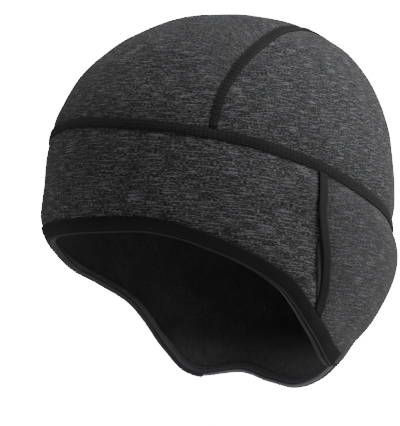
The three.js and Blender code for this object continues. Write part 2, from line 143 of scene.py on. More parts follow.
# Level sections under the widest level
SECTIONS = {
    "depth": (0.0, 0.2, 0.39, 0.59, 0.79, 1.0),
    "width": (1.0, 0.983, 0.953, 0.903, 0.877, 0.847),
    "front": (1.0, 1.033, 1.018, 0.91, 0.78, 0.64),
    "back": (1.0, 1.017, 0.975, 0.857, 0.668, 0.535),
    "shift": (0.0, 0.1, 0.4, 0.45, 0.35, 0.11),
}
BAND_SEAM_LINE = {
    "angle": (0, 30, 60, 90, 120, 150, 180),
    "rise": (1.0, 0.928, 0.815, 0.6, 0.315, 0.108, 0.0),
    "valley": (0.25, 0.28, 0.35, 0.5, 0.85, 1.0, 0.7),
}
FACE_RIM = {
    "turn": (0.0, 0.261, 0.478, 0.652, 0.782, 0.92, 1.0),
    "drop": (0.0, 0.0123, 0.17, 0.38, 0.726, 0.956, 1.0),
}
NECK_RIM = {"turn": (0.0, 0.293, 0.64, 1.0), "drop": (0.0, -0.15, 0.51, 1.0)}
CROWN_SEAM_LINE = {
    "along": (-1.1, -0.745, -0.594, -0.428, -0.222, 0.038, 0.27, 0.6, 1.1, 2.1),
    "aside": (1.46, 1.15, 0.985, 0.854, 0.701, 0.485, 0.31, 0.2, 0.18, 0.24),
}
CROWN_SEAM_MIDDLE = 0.3

width_at = table_curve(SECTIONS["depth"], SECTIONS["width"], True)
front_at = table_curve(SECTIONS["depth"], SECTIONS["front"], True)
back_at = table_curve(SECTIONS["depth"], SECTIONS["back"], True)
shift_at = table_curve(SECTIONS["depth"], SECTIONS["shift"], True)
seam_rise_at = table_curve(BAND_SEAM_LINE["angle"], BAND_SEAM_LINE["rise"])
seam_valley_at = table_curve(BAND_SEAM_LINE["angle"], BAND_SEAM_LINE["valley"])
face_drop_at = table_curve(FACE_RIM["turn"], FACE_RIM["drop"])
neck_drop_at = table_curve(NECK_RIM["turn"], NECK_RIM["drop"])
crown_seam_aside = table_curve(CROWN_SEAM_LINE["along"], CROWN_SEAM_LINE["aside"], True)


def lerp(start, end, share):
    return start + (end - start) * share


def smooth(share):
    share = np.clip(share, 0, 1)
    return share**2 * (3 - 2 * share)


def bell(distance, reach):
    return np.exp(-((distance / reach) ** 2))


def length_of(vectors):
    return np.linalg.norm(vectors, axis=-1)


def turn_of(theta):
    turn = np.abs(theta / DEGREE) % 360
    return np.where(turn > 180, 360 - turn, turn)


def band_seam_height(theta):
    return lerp(-SEAM_DROP_BACK, SEAM_RISE_FRONT, seam_rise_at(turn_of(theta)))


# The rim sits a little askew: bearing, reach in degrees and rise on the left side in millimetres
RIM_LEAN = (
    (51, 16, 1.7),
    (81, 12, -1.0),
    (112, 12, 0.6),
)


def rim_lean(theta):
    turn = turn_of(theta)
    rise = sum(size * bell(turn - bearing, reach) for bearing, reach, size in RIM_LEAN)
    return np.sign(np.sin(theta)) * rise


def rim_height(theta):
    turn = turn_of(theta)
    face = -lerp(FACE_DROP, EAR_DROP, face_drop_at(turn / EAR_TIP_ANGLE))
    share = (turn - EAR_TIP_ANGLE) / (180 - EAR_TIP_ANGLE)
    neck = -lerp(EAR_DROP, NAPE_DROP, neck_drop_at(share))
    return np.where(turn <= EAR_TIP_ANGLE, face, neck) + rim_lean(theta)


def form(theta, height):
    """The plain form: a rounded dome above the widest level and the level sections under it."""
    theta, height = np.broadcast_arrays(np.asarray(theta, float), np.asarray(height, float))
    rise = np.clip(height / CROWN_HEIGHT, 0, 1)
    share = (1 - rise**CROWN_FULLNESS) ** (1 / CROWN_FULLNESS)
    depth = np.maximum(-height / NAPE_DROP, 0)
    dome = height >= 0
    width = HALF_WIDTH * np.where(dome, share, width_at(depth))
    front = FRONT_REACH * np.where(dome, share, front_at(depth))
    back = BACK_REACH * np.where(dome, share, back_at(depth))
    middle = CROWN_SET_BACK * np.where(dome, rise * rise, shift_at(depth))
    reach = np.where(np.cos(theta) > 0, front, back)
    return np.stack([width * np.sin(theta), middle - reach * np.cos(theta), height], axis=-1)


def along_round(theta, height):
    return (form(theta + SLOPE_STEP, height) - form(theta - SLOPE_STEP, height)) / (2 * SLOPE_STEP)


def outward(theta, height):
    theta, height = np.broadcast_arrays(np.asarray(theta, float), np.asarray(height, float))
    tilt = np.arccos(np.clip(height / CROWN_HEIGHT, -1, 1))
    step = np.minimum(SLOPE_STEP, tilt / 2)
    dome = height > 0
    above = np.where(dome, CROWN_HEIGHT * np.cos(tilt - step), height + SLOPE_STEP)
    below = np.where(dome, CROWN_HEIGHT * np.cos(tilt + step), height - SLOPE_STEP)
    normal = np.cross(along_round(theta, height), form(theta, above) - form(theta, below))
    size = length_of(normal)
    top = (height > CROWN_HEIGHT * (1 - NEAR_TOP)) | (size < 1e-15)
    normal = normal / np.where(top, 1, size)[..., None]
    return np.where(top[..., None], np.array([0.0, 0.0, 1.0]), normal)


def stretch_of(line, theta):
    """How much longer a height is than the distance square to a sloping line."""
    slope = (line(theta + SLOPE_STEP) - line(theta - SLOPE_STEP)) / (2 * SLOPE_STEP)
    return np.hypot(1, slope / length_of(along_round(theta, line(theta))))


def above_rim(theta, distance):
    return rim_height(theta) + distance * stretch_of(rim_height, theta)


def from_seam(theta, distance):
    return band_seam_height(theta) + distance * stretch_of(band_seam_height, theta)


def unroll(theta, height):
    """The crown unrolled: aside and along are a point's bearing times its tilt from the top."""
    tilt = np.arccos(np.clip(height / CROWN_HEIGHT, -1, 1))
    return tilt * np.sin(theta), -tilt * np.cos(theta)


def roll_up(aside, along):
    tilt = np.hypot(aside, along)
    return np.arctan2(aside, -along), CROWN_HEIGHT * np.cos(tilt)


def crown_seam_unit(along):
    """Unrolled length of one millimetre square to the crown seam."""
    aside = crown_seam_aside(along)
    here = form(*roll_up(aside, along))
    beside = form(*roll_up(aside + SLOPE_STEP, along))
    ahead = crown_seam_aside(along + SLOPE_STEP)
    slope = (ahead - crown_seam_aside(along - SLOPE_STEP)) / (2 * SLOPE_STEP)
    return SLOPE_STEP / length_of(here - beside) * np.hypot(1, slope)


# Small uneven softness of the cloth: wave length and depth in millimetres, and a phase
DRAPE = (
    (46, 0.30, 0.3),
    (29, 0.16, 1.9),
    (17, 0.06, 4.1),
)
SEAM_PUCKER = 0.17
SEAM_PUCKER_PITCH = 8.5
SEAM_PUCKER_REACH = 9
RIM_PUCKER = 0.16
RIM_PUCKER_PITCH = 13
RIM_PUCKER_REACH = 10


def drape(points):
    """Waves of several lengths in all directions."""
    x, y, z = (points[..., k] for k in range(3))
    total = 0
    for wave, depth, phase in DRAPE:
        w = 2 * math.pi / wave
        first = np.sin(w * (x * 0.8 + y * 0.35 + z * 0.5) + phase)
        second = np.sin(w * (y * 0.75 - x * 0.45 + z * 0.55) + 2.3 * phase)
        third = np.sin(w * (z * 0.8 - y * 0.5 + x * 0.3) - phase)
        total = total + depth * (first * second + third * second) / 1.3
    return total


def pucker(run, pitch):
    """Uneven ripples along a seam."""
    w = 2 * math.pi / pitch
    return 0.6 * np.sin(w * run + 1.7 * np.sin(run / 31)) + 0.4 * np.sin(1.63 * w * run + 0.8)


def relief(theta, height, spread):
    """Relief over the plain form; spread widens the valleys for the ply underneath."""
    seam_distance = (height - band_seam_height(theta)) / stretch_of(band_seam_height, theta)
    rim_distance = (height - rim_height(theta)) / stretch_of(rim_height, theta)
    band_depth = BAND_VALLEY * seam_valley_at(turn_of(theta))
    depth = band_depth * bell(seam_distance, BAND_VALLEY_REACH * spread)
    depth = depth + RIM_TUCK * np.clip(1 - rim_distance / RIM_TUCK_REACH, 0, 1) ** 2
    if spread > 1:
        return -depth - LINING_EASE * smooth((rim_distance - INNER_TURN - 1) / RIM_TUCK_REACH)
    aside, along = unroll(theta, height)
    crown_distance = (np.abs(aside) - crown_seam_aside(along)) / crown_seam_unit(along)
    crown_fade = smooth(seam_distance / CROWN_VALLEY_REACH)
    crown = CROWN_VALLEY * crown_fade * bell(crown_distance, CROWN_VALLEY_REACH)
    round_size = length_of(along_round(theta, height))
    loop_distance = (turn_of(theta) - LOOP_ANGLE) * DEGREE * round_size
    foot_fade = smooth((rim_distance - INNER_TURN) / BINDING_WIDTH)
    top_fade = smooth(-seam_distance / LOOP_VALLEY_REACH)
    loop = LOOP_VALLEY * foot_fade * top_fade * bell(loop_distance, LOOP_VALLEY_REACH)
    depth = depth + np.where(seam_distance > 0, crown, loop)
    down = seam_distance / (seam_distance - rim_distance)
    crease = LOOP_CREASE * bell(loop_distance + CREASE_ASIDE, CREASE_REACH)
    depth = depth + crease * bell(down - CREASE_SHARE, CREASE_HALF) * (seam_distance < 0)
    run = theta * HALF_WIDTH
    beside = bell(np.abs(seam_distance) - HALF_SEAM - 2, SEAM_PUCKER_REACH)
    apart = smooth((np.abs(seam_distance) - HALF_SEAM) / 3)
    rise = SEAM_PUCKER * beside * apart * pucker(run, SEAM_PUCKER_PITCH)
    beside = bell(crown_distance, SEAM_PUCKER_REACH) * smooth(seam_distance / 4)
    apart = smooth((np.abs(crown_distance) - HALF_SEAM) / 3)
    rise = rise + SEAM_PUCKER * beside * apart * pucker(along * CROWN_HEIGHT, SEAM_PUCKER_PITCH)
    beside = bell(rim_distance - BINDING_WIDTH - 2, RIM_PUCKER_REACH)
    apart = smooth((rim_distance - BINDING_WIDTH) / 3)
    rise = rise + RIM_PUCKER * beside * apart * pucker(run, RIM_PUCKER_PITCH)
    return rise - depth


def skin(theta, height, offset, spread=1):
    """A point at a given distance outside the fabric's outer face, in the row frame."""
    plain = form(theta, height)
    lift = offset + relief(theta, height, spread) + drape(plain)
    point = plain + outward(theta, height) * np.asarray(lift)[..., None]
    return point - np.array([0, CROWN_SET_BACK, INSIDE_TOP])


def new_piece(name, points, faces, cloth=None, materials=(), face_materials=None, smooth_faces=True):
    """A mesh object in metres, from points in millimetres; cloth is each point's place on the fabric."""
    mesh = bpy.data.meshes.new(name)
    mesh.from_pydata((np.asarray(points) * MM).tolist(), [], [list(map(int, f)) for f in faces])
    mesh.update()
    if cloth is not None:
        attribute = mesh.attributes.new("cloth", "FLOAT_VECTOR", "POINT")
        attribute.data.foreach_set("vector", np.asarray(cloth, np.float32).ravel())
    for material in materials:
        mesh.materials.append(material)
    if face_materials is not None:
        mesh.polygons.foreach_set("material_index", np.asarray(face_materials, np.int32))
    mesh.polygons.foreach_set("use_smooth", np.full(len(mesh.polygons), smooth_faces))
    piece = bpy.data.objects.new(name, mesh)
    bpy.context.scene.collection.objects.link(piece)
    return piece


def dress(piece, slot, *nodes):
    """The piece rides on the part and stands for CAD nodes, which are hidden; the slot is not used."""
    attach(piece, "root")
    if nodes:
        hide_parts(*nodes)
    return piece


def grid_faces(rows, columns, start, flip):
    """Quads of a grid of points that are numbered row by row."""
    i, j = np.meshgrid(np.arange(columns - 1), np.arange(rows - 1))
    a = start + j * columns + i
    quads = np.stack([a, a + 1, a + columns + 1, a + columns], axis=-1).reshape(-1, 4)
    return quads[:, ::-1] if flip else quads


def sheet_mesh(name, across, along, point_at, material):
    """A closed sheet of cloth: point_at(u, v, side) gives points and places on the fabric."""
    u, v = np.meshgrid(np.linspace(0, 1, across + 1), np.linspace(0, 1, along + 1))
    rows, columns = u.shape
    outer, cloth = point_at(u, v, 0)
    inner, _ = point_at(u, v, 1)
    count = rows * columns
    edge = np.concatenate([
        np.arange(columns),
        np.arange(1, rows) * columns + columns - 1,
        (rows - 1) * columns + np.arange(columns - 2, -1, -1),
        np.arange(rows - 2, 0, -1) * columns,
    ])
    after = np.roll(edge, -1)
    rim = np.stack([edge, edge + count, after + count, after], axis=-1)
    faces = np.concatenate([
        grid_faces(rows, columns, 0, False),
        grid_faces(rows, columns, count, True),
        rim,
    ])
    points = np.concatenate([outer.reshape(-1, 3), inner.reshape(-1, 3)])
    faces = facing_out(points, faces)
    places = np.concatenate([cloth.reshape(-1, 3)] * 2)
    return new_piece(name, points, faces, places, [material])


def facing_out(points, faces):
    """The faces, turned round where the closed shape they make is inside out."""
    a, b, c = points[faces[:, 0]], points[faces[:, 1]], points[faces[:, 2]]
    d = points[faces[:, 3]]
    volume = (a * np.cross(b, c)).sum() + (a * np.cross(c, d)).sum()
    return faces if volume > 0 else faces[:, ::-1]


def trim_mesh(name, outline, steps, place, materials, closed=False, marks=None, twist=1.0):
    """An outline of (across, out) corners carried along a run; marks gives each side's material."""
    rings = steps if closed else steps + 1
    count = len(outline)
    share = np.arange(rings) / steps
    points = np.zeros((rings, count, 3))
    cloth = np.zeros((rings, count, 3))
    round_it = np.concatenate([[0], np.cumsum(np.hypot(*np.diff(np.array(outline).T)))])
    for k, (across, out) in enumerate(outline):
        points[:, k] = place(share, np.full(rings, float(across)), np.full(rings, float(out)))
        cloth[:, k, 1] = round_it[k]
    middle = points.mean(axis=1)
    run = np.concatenate([[0], np.cumsum(length_of(np.diff(middle, axis=0)))])
    cloth[:, :, 0] = run[:, None] * twist
    ring = np.arange(steps)[:, None]
    side = np.arange(count)[None, :]
    near = ring * count
    far = ((ring + 1) % rings) * count
    after = (side + 1) % count
    faces = np.stack([near + side, near + after, far + after, far + side], axis=-1).reshape(-1, 4)
    flat = points.reshape(-1, 3)
    faces = facing_out(flat, faces)
    indices = np.tile(np.array(marks if marks is not None else [0] * count), steps)
    faces = faces.tolist()
    if not closed:
        corners = [Vector((float(a), float(o), 0)) for a, o in outline]
        for first in (0, (rings - 1) * count):
            for triangle in tessellate_polygon([corners]):
                faces.append([first + t for t in triangle])
                indices = np.append(indices, indices[0])
    piece = new_piece(name, flat, faces, cloth.reshape(-1, 3), materials, indices)
    fix_normals(piece)
    return piece


def fix_normals(piece):
    """Turns all faces of a closed mesh outwards."""
    work = bmesh.new()
    work.from_mesh(piece.data)
    bmesh.ops.recalc_face_normals(work, faces=work.faces)
    work.to_mesh(piece.data)
    work.free()


# The crown seam, and the places beside it
HALVINGS = 40
SEAM_SAMPLES = np.linspace(-HALF_SEAM - 1, HALF_SEAM + 1, 16)


def beside_crown_seam(along, distance):
    return crown_seam_aside(along) + distance * crown_seam_unit(along), along


def crown_seam_end(above, limit):
    """Where lines beside the crown seam come down to a distance above the band seam."""
    inner = np.full(SEAM_SAMPLES.shape, CROWN_SEAM_MIDDLE)
    outer = np.full(SEAM_SAMPLES.shape, float(limit))
    for _ in range(HALVINGS):
        middle = (inner + outer) / 2
        theta, height = roll_up(*beside_crown_seam(middle, SEAM_SAMPLES))
        higher = height > from_seam(theta, above)
        inner = np.where(higher, middle, inner)
        outer = np.where(higher, outer, middle)
    return inner


def along_crown_seam(distance, above, share):
    front = np.interp(distance, SEAM_SAMPLES, crown_seam_end(above, CROWN_SEAM_LINE["along"][0]))
    back = np.interp(distance, SEAM_SAMPLES, crown_seam_end(above, CROWN_SEAM_LINE["along"][-1]))
    return beside_crown_seam(lerp(front, back, share), distance)


def above_seam_point(theta):
    return unroll(theta, from_seam(theta, CLEARANCE))


def bearing_of(aside, along):
    return np.arctan2(aside, -along)


# Cloth panels. Places on the fabric are in millimetres, with the courses of the knit along the first one.
CORNER_CUT = 1.2
PANEL_STEP = 60
LEVEL_FROM = 0.6
BAND_SLANT = 0.4
EAR_SLANT = 0.05


def on_fabric(course, wale, panel):
    return np.stack([course, wale, np.full(course.shape, float(panel * PANEL_STEP))], axis=-1)


def crown_center_at(u, v, side):
    aside, along = along_crown_seam(-CLEARANCE, CLEARANCE, v)
    front_turn = bearing_of(*along_crown_seam(-CLEARANCE, CLEARANCE, 0.0))
    back_turn = bearing_of(*along_crown_seam(-CLEARANCE, CLEARANCE, 1.0))
    front = above_seam_point(lerp(-front_turn, front_turn, u))
    back = above_seam_point(lerp(2 * math.pi - back_turn, back_turn, u))
    place = []
    for axis, plain in enumerate((lerp(-aside, aside, u), along)):
        bows = [edge[axis] - lerp(edge[axis][:, :1], edge[axis][:, -1:], u) for edge in (front, back)]
        place.append(plain + lerp(bows[0], bows[1], v))
    points = skin(*roll_up(*place), -FABRIC * side)
    level = smooth(np.abs(place[1]) / LEVEL_FROM)
    wale = np.sign(place[1]) * np.hypot(place[1], level * place[0])
    return points, on_fabric(place[0] * CROWN_HEIGHT, wale * CROWN_HEIGHT, 1)


def crown_side_at(mirror):
    def at(u, v, side):
        front_turn = bearing_of(*along_crown_seam(CLEARANCE, CLEARANCE, 0.0))
        back_turn = bearing_of(*along_crown_seam(CLEARANCE, CLEARANCE, 1.0))
        inner = along_crown_seam(CLEARANCE, CLEARANCE + CORNER_CUT, v)
        outer = above_seam_point(lerp(front_turn, back_turn, v))
        aside = mirror * lerp(inner[0], outer[0], u)
        along = lerp(inner[1], outer[1], u)
        points = skin(*roll_up(aside, along), -FABRIC * side)
        wale = np.hypot(aside, along)
        return points, on_fabric(along * CROWN_HEIGHT, wale * CROWN_HEIGHT, 3 + mirror)

    return at


def lower_panel_at(start, end, panel, slant):
    def at(u, v, side):
        theta = lerp(start, end, u) * DEGREE
        height = lerp(from_seam(theta, -CLEARANCE), above_rim(theta, PANEL_FOOT), v)
        points = skin(theta, height, -FABRIC * side)
        wale = height - slant * band_seam_height(theta)
        return points, on_fabric(theta * HALF_WIDTH, wale, panel)

    return at


def lining_piece(material):
    """One shell of fleece from the top to the rim, with a fan of faces at the top."""
    sides, crown_rows, lower_rows = 220, 46, 54
    theta = np.arange(sides) / sides * 2 * math.pi
    rows = []
    for share in np.arange(1, crown_rows + 1) / crown_rows:
        rows.append(CROWN_HEIGHT * np.cos(share * np.arccos(band_seam_height(theta) / CROWN_HEIGHT)))
    foot = above_rim(theta, PANEL_FOOT + CLEARANCE)
    for share in np.arange(1, lower_rows + 1) / lower_rows:
        rows.append(lerp(band_seam_height(theta), foot, share))
    heights = np.array(rows)
    turns = np.broadcast_to(theta, heights.shape)
    count = heights.size
    points = []
    for offset in (-FABRIC - PLY_GAP, -TOTAL_PLY):
        points.append(skin(turns, heights, offset, LINING_SPREAD).reshape(-1, 3))
    for offset in (-FABRIC - PLY_GAP, -TOTAL_PLY):
        points.append(skin(np.zeros(1), np.full(1, float(CROWN_HEIGHT)), offset, LINING_SPREAD))
    i, j = np.meshgrid(np.arange(sides), np.arange(len(rows) - 1))
    after = (i + 1) % sides
    outer = np.stack([j * sides + i, (j + 1) * sides + i, (j + 1) * sides + after, j * sides + after], -1)
    outer = outer.reshape(-1, 4)
    last = (len(rows) - 1) * sides
    i = np.arange(sides)
    after = (i + 1) % sides
    foot_faces = np.stack([last + i, last + i + count, last + after + count, last + after], -1)
    faces = np.concatenate([outer, outer[:, ::-1] + count, foot_faces]).tolist()
    tops = (2 * count, 2 * count + 1)
    for k in range(sides):
        faces.append([tops[0], k, (k + 1) % sides])
        faces.append([tops[1], count + (k + 1) % sides, count + k])
    piece = new_piece("lining_fleece", np.concatenate(points), faces, None, [material])
    fix_normals(piece)
    return piece


# Seams: a strip with a groove under each row of needle thread, and threads over it
SEAM_PROFILE = (
    (-2.75, 0.04),
    (-2.72, 0.50),
    (-2.45, 0.80),
    (-2.05, 0.60),
    (-1.70, 0.88),
    (-1.35, 0.98),
    (-1.05, 0.92),
    (-0.70, 0.74),
    (-0.35, 0.96),
    (0.00, 1.06),
    (0.35, 0.96),
    (0.70, 0.74),
    (1.05, 0.92),
    (1.35, 0.98),
    (1.70, 0.88),
    (2.05, 0.60),
    (2.45, 0.80),
    (2.72, 0.50),
    (2.75, 0.04),
)
NEEDLE_ROWS = (-2.05, -0.7, 0.7, 2.05)
NEEDLE_FLOORS = (0.62, 0.76, 0.76, 0.62)
NEEDLE_PITCH = 2.3
NEEDLE_LENGTH = 1.75
NEEDLE_RADIUS = 0.2
COVER_PITCH = 2.3
COVER_HALF = 1.95
COVER_RADIUS = 0.1
THREAD_SIDES = 6
JOIN_GAP = 0.06


def needle_row(length, across, out, pitch=NEEDLE_PITCH, size=NEEDLE_LENGTH, radius=NEEDLE_RADIUS):
    """Short raised stitches in a row, as (run, across, out) paths and a radius at each point."""
    starts = np.arange(pitch / 2, length - size, pitch)
    t = np.array([0, 0.08, 0.3, 0.5, 0.7, 0.92, 1])
    paths = np.zeros((len(starts), len(t), 3))
    paths[:, :, 0] = starts[:, None] + t * size
    paths[:, :, 1] = across
    paths[:, :, 2] = out + 0.16 * np.sin(math.pi * t)
    return paths, radius * np.array([0.35, 0.8, 1, 1, 1, 0.8, 0.35])


def cover_thread(length, half, out, pitch, phase, radius=COVER_RADIUS):
    """One thread that goes to and fro across a seam."""
    turns = int(length / pitch)
    t = np.linspace(0, turns, turns * 6 + 1)
    path = np.zeros((1, len(t), 3))
    path[0, :, 0] = t / turns * length
    wave = np.arcsin(0.985 * np.sin(2 * math.pi * (t + phase))) / math.asin(0.985)
    path[0, :, 1] = half * wave
    path[0, :, 2] = out - 0.3 * np.abs(wave) ** 3
    return path, np.full(len(t), radius)


def threads_piece(name, parts, place, length, material):
    """Round threads along paths on a strip, joined in one mesh."""
    points = []
    faces = []
    start = 0
    angle = np.arange(THREAD_SIDES) / THREAD_SIDES * 2 * math.pi
    for paths, radius in parts:
        number, size, _ = paths.shape
        ahead = np.gradient(paths, axis=1)
        ahead = ahead / length_of(ahead)[..., None]
        side = np.cross(ahead, np.array([0, 0, 1.0]))
        side = side / length_of(side)[..., None]
        up = np.cross(side, ahead)
        wide = radius[None, :, None, None]
        ring = np.cos(angle)[:, None] * side[:, :, None] + np.sin(angle)[:, None] * up[:, :, None]
        at = paths[:, :, None] + wide * ring
        points.append(place(at[..., 0] / length, at[..., 1], at[..., 2]).reshape(-1, 3))
        s, k, a = np.meshgrid(np.arange(number), np.arange(size - 1), np.arange(THREAD_SIDES), indexing="ij")
        after = (a + 1) % THREAD_SIDES
        low = start + (s * size + k) * THREAD_SIDES
        high = low + THREAD_SIDES
        faces += np.stack([low + a, low + after, high + after, high + a], -1).reshape(-1, 4).tolist()
        ends = start + np.arange(number)[:, None] * size * THREAD_SIDES + np.arange(THREAD_SIDES)
        faces += ends[:, ::-1].tolist()
        faces += (ends + (size - 1) * THREAD_SIDES).tolist()
        start += number * size * THREAD_SIDES
    piece = new_piece(name, np.concatenate(points), faces, None, [material])
    fix_normals(piece)
    return piece


def band_seam_place(share, across, out):
    theta = share * 2 * math.pi
    return skin(theta, from_seam(theta, across), out)


def crown_seam_place(mirror):
    def place(share, across, out):
        aside, along = along_crown_seam(across, HALF_SEAM + JOIN_GAP, share)
        return skin(*roll_up(mirror * aside, along), out)

    return place


def rim_place(start, end):
    def place(share, across, out):
        theta = lerp(start, end, share) * DEGREE
        return skin(theta, above_rim(theta, across), out)

    return place


def run_length(place):
    share = np.linspace(0, 1, 400)
    return float(length_of(np.diff(place(share, 0 * share, 0 * share), axis=0)).sum())


def make_seam(name, place, steps, node, closed, materials):
    strip = trim_mesh(name, SEAM_PROFILE, steps, place, [materials["seam"]], closed)
    dress(strip, "seam_thread", node)
    length = run_length(place)
    parts = [needle_row(length, across, out) for across, out in zip(NEEDLE_ROWS, NEEDLE_FLOORS)]
    parts += [cover_thread(length, COVER_HALF, 1.06, COVER_PITCH, phase) for phase in (0, 0.5)]
    threads = threads_piece(name + "_threads", parts, place, length, materials["thread"])
    dress(threads, "seam_thread")


# Glasses loops
LOOP_PROFILE = (
    (-2.40, 0.45),
    (-2.40, 0.95),
    (-2.15, 1.18),
    (-1.20, 1.26),
    (0.00, 1.30),
    (1.20, 1.26),
    (2.15, 1.18),
    (2.40, 0.95),
    (2.40, 0.45),
    (2.15, 0.32),
    (0.00, 0.30),
    (-2.15, 0.32),
)


# How far the tape strays to the back along its run, in millimetres
LOOP_SWAY = {
    "share": (0.0, 0.15, 0.3, 0.42, 0.55, 0.7, 0.8, 0.9, 1.0),
    "sway": (-0.4, -1.2, -2.2, -1.6, -1.2, 0.1, 0.9, 0.9, 0.2),
}
loop_sway_at = table_curve(LOOP_SWAY["share"], LOOP_SWAY["sway"])
STAY_PROFILE = (
    (-1.30, 0.10),
    (-1.22, 0.62),
    (-0.75, 0.86),
    (0.00, 0.72),
    (0.75, 0.90),
    (1.30, 0.78),
    (1.50, 0.10),
)
STAY_FROM = 0.5
STAY_TO = 0.93
STAY_ASIDE = 3.9


def loop_place(mirror, start=0.0, end=1.0, aside=0.0):
    """Places along a loop's tape from the band seam to the binding, or along the stay beside it."""
    def place(share, across, out):
        run = lerp(start, end, share)
        hug = np.sin(math.pi * np.clip(share, 0, 1)) ** 0.5 if aside else 1
        middle = LOOP_ANGLE * DEGREE + (loop_sway_at(run) - aside * hug) / HALF_WIDTH
        theta = mirror * (middle + across / HALF_WIDTH)
        top = from_seam(theta, -HALF_SEAM - JOIN_GAP)
        foot = above_rim(theta, BINDING_WIDTH + JOIN_GAP)
        lift = 0 if aside else SCENE_LIFT * np.sin(math.pi * run) ** 2
        return skin(theta, lerp(top, foot, run), out + lift)

    return place


# Rim trims: distance up from the rim, and out from the fabric's outer face
RIM_BACK = (
    (0.05, -2.2),
    (0.3, -2.95),
    (0.8, -3.3),
    (1.3, -3.2),
    (1.9, -3.4),
    (3.2, -3.4),
    (3.8, -3.2),
    (4.3, -3.38),
    (4.85, -3.3),
    (5.0, -3.08),
    (5.0, -2.86),
    (2.0, -2.86),
)
BINDING_PROFILE = (
    (8.0, 0.3),
    (8.0, 0.85),
    (7.75, 1.06),
    (6.8, 1.12),
    (4.0, 1.14),
    (1.9, 1.1),
    (1.35, 0.92),
    (1.0, 1.12),
    (0.5, 1.16),
    (0.1, 0.9),
    (-0.05, 0.3),
    (-0.05, -1.2),
) + RIM_BACK + ((2.0, 0.3),)
HEM_PROFILE = (
    (2.0, 0.0),
    (1.3, 0.0),
    (0.6, -0.12),
    (0.15, -0.55),
    (0.0, -1.2),
) + RIM_BACK
TIP_GAP = JOIN_GAP / 2 / HALF_WIDTH / DEGREE
BINDING_END = EAR_TIP_ANGLE - TIP_GAP
HEM_START = EAR_TIP_ANGLE + TIP_GAP
HEM_ROWS = (1.3, 3.8)
HEM_THREAD_OUT = -3.32


def profile_marks(profile, rules):
    """A material for each side of a profile, from the place of the side's middle."""
    marks = []
    for k, (across, out) in enumerate(profile):
        after = profile[(k + 1) % len(profile)]
        middle = ((across + after[0]) / 2, (out + after[1]) / 2)
        marks.append(next(mark for mark, test in rules if test(*middle)))
    return marks


class Nodes:
    """A material's node tree around one Principled shader."""

    def __init__(self, name, **sockets):
        self.material = bpy.data.materials.new(name)
        self.material.use_nodes = True
        self.tree = self.material.node_tree
        self.shader = self.tree.nodes["Principled BSDF"]
        for key, value in sockets.items():
            self.shader.inputs[key.replace("_", " ")].default_value = value

    def add(self, kind, settings=(), **inputs):
        node = self.tree.nodes.new(kind)
        for key, value in dict(settings).items():
            setattr(node, key, value)
        for key, value in inputs.items():
            socket = node.inputs[int(key[1:])] if key[0] == "_" else node.inputs[key.replace("_", " ")]
            if isinstance(value, bpy.types.NodeSocket):
                self.tree.links.new(value, socket)
            else:
                socket.default_value = value
        return node

    def noise(self, vector, scale, detail=2.0, roughness=0.5, distortion=0.0):
        node = self.add(
            "ShaderNodeTexNoise",
            Vector=vector,
            Scale=scale,
            Detail=detail,
            Roughness=roughness,
            Distortion=distortion,
        )
        return node.outputs["Fac"]

    def stretched(self, vector, scale):
        node = self.add("ShaderNodeMapping", Vector=vector, Scale=scale)
        return node.outputs["Vector"]

    def ramp(self, value, low, high):
        settings = {"interpolation_type": "SMOOTHSTEP"}
        node = self.add("ShaderNodeMapRange", settings, Value=value, From_Min=low, From_Max=high)
        return node.outputs["Result"]

    def maths(self, operation, first, second):
        node = self.add("ShaderNodeMath", {"operation": operation}, _0=first, _1=second)
        return node.outputs["Value"]

    def blend(self, share, first, second):
        node = self.add("ShaderNodeMix", {"data_type": "RGBA"}, _0=share, _6=first, _7=second)
        return node.outputs[2]

    def color(self, socket):
        self.tree.links.new(socket, self.shader.inputs["Base Color"])

    def bump(self, height, strength, distance_mm):
        node = self.add("ShaderNodeBump", Height=height, Strength=strength, Distance=distance_mm * MM)
        self.tree.links.new(node.outputs["Normal"], self.shader.inputs["Normal"])

    def fabric_place(self):
        return self.add("ShaderNodeAttribute", {"attribute_name": "cloth"}).outputs["Vector"]

    def object_place(self):
        return self.add("ShaderNodeTexCoord").outputs["Object"]


def grey(value, blue=1.0):
    return (value, value, value * blue, 1.0)


MEAN_STREAK = 0.34
STREAK_POWER = 1.4
HEATHER_DARK = (0.022, 0.0222, 0.0235, 1)
HEATHER_LIGHT = (0.235, 0.237, 0.245, 1)


